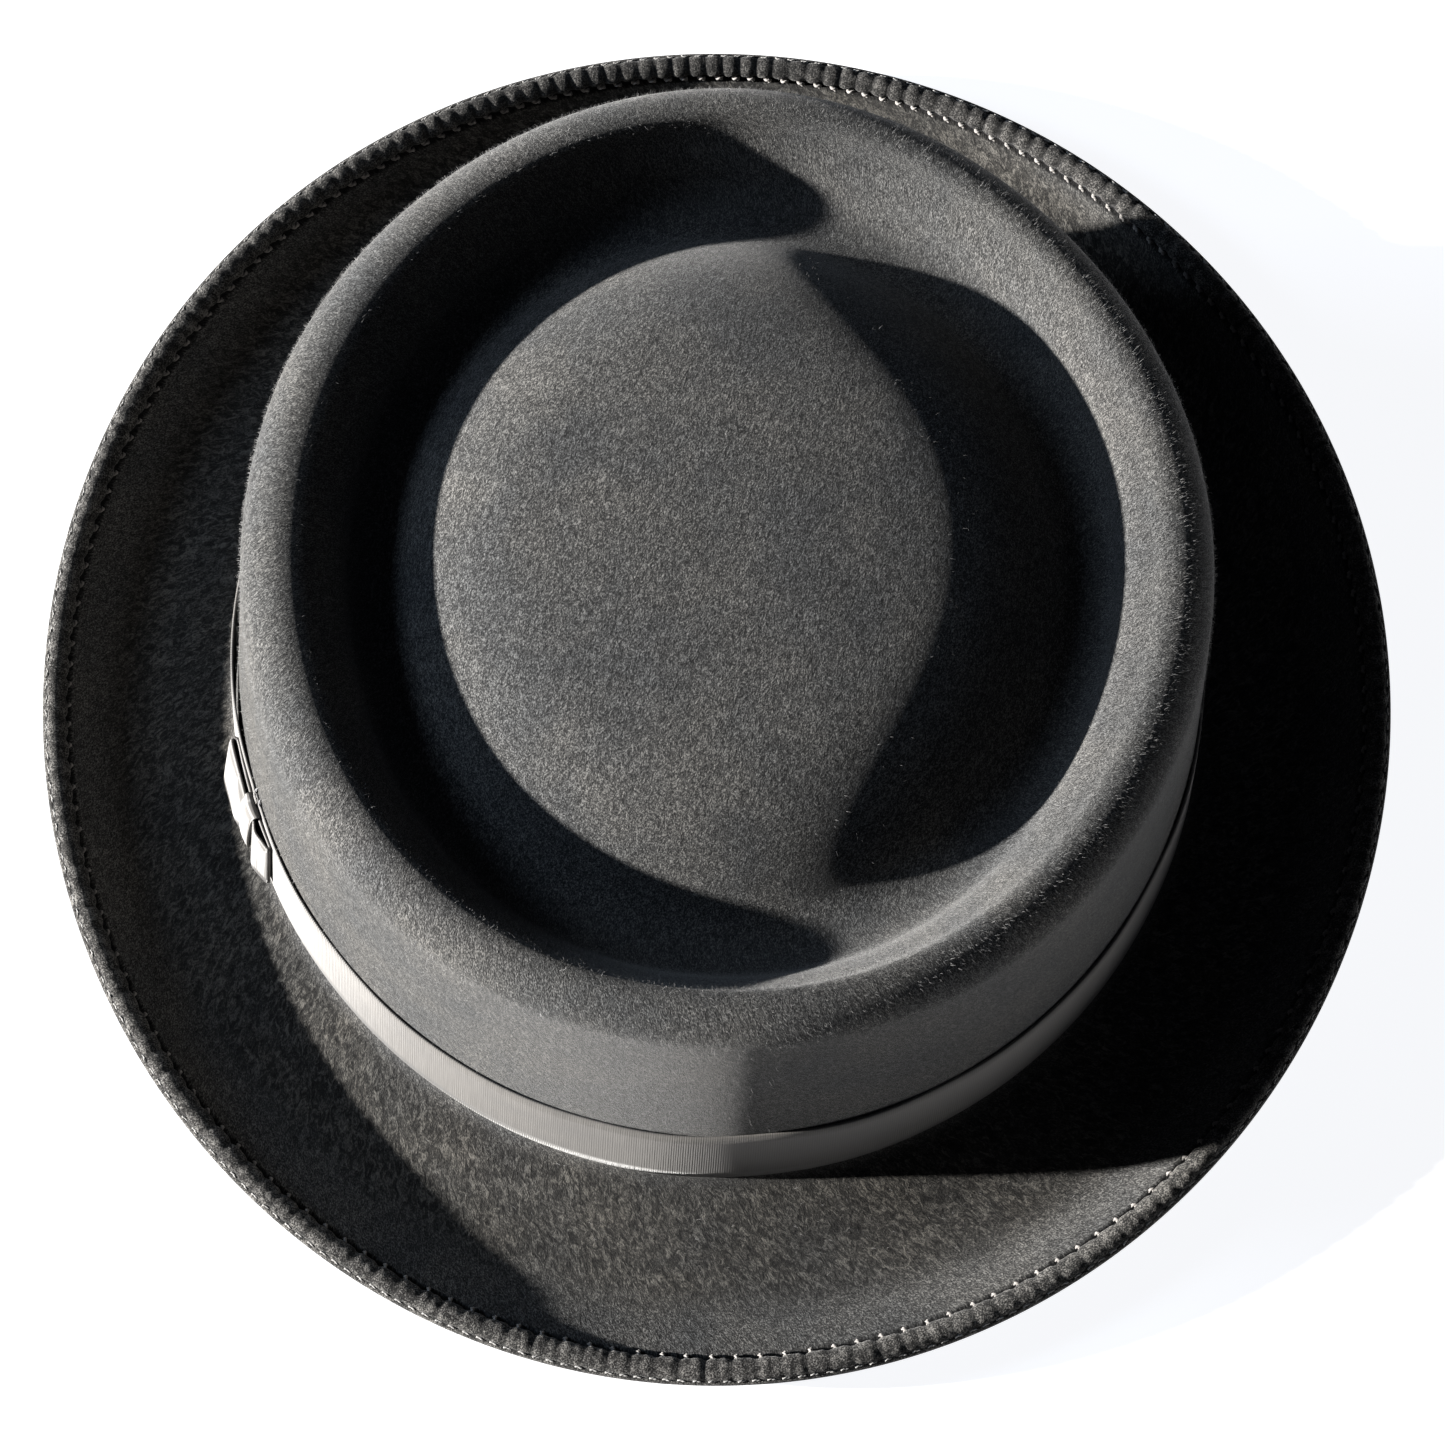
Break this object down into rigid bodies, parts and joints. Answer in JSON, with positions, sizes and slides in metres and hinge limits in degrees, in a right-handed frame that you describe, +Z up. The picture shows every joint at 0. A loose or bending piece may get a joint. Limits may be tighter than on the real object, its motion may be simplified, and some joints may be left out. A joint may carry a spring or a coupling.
{
  "type": "pork pie hat",
  "caption": "Low-crowned felt hat with a round-topped rim and a domed tip, a narrow curled brim with a sewn edge, a ribbon band with a small side bow, a leather sweatband and a lining.",
  "frame": {"origin": "middle of the head oval on the surface the brim rests on", "axes": "+Z up through the crown, +Y to the front of the hat, -X to the wearer's left, where the bow is"},
  "size_m": [0.2598, 0.2762, 0.083],
  "materials": {
    "felt": "brushed fur felt, matt with a short nap",
    "welt_felt": "felt strip puckered by its stitches",
    "thread": "twisted sewing thread",
    "ribbon": "satin-faced grosgrain ribbon",
    "leather": "smooth roan leather",
    "reed": "matt flexible reed",
    "tape": "plain woven cotton tape",
    "sweatband_ribbon": "narrow satin ribbon",
    "satin": "satin lining",
    "piping": "satin-covered cord",
    "tab": "blank woven tab"
  },
  "bodies": {
    "root": {"felt_body": "felt", "brim_edge_welt": "welt_felt", "welt_thread_inner": "thread", "welt_thread_outer": "thread", "ribbon_band": "ribbon", "bow_loops": "ribbon", "bow_knot": "ribbon", "bow_tack_stitches": "thread", "sweatband": "leather", "sweatband_reed": "reed", "sweatband_reed_tape": "tape", "sweatband_thread": "thread", "sweatband_back_stitches": "thread", "sweatband_bow": "sweatband_ribbon", "lining_side": "satin", "lining_tip": "satin", "lining_piping": "piping", "size_tab": "tab"}
  },
  "joints": []
}
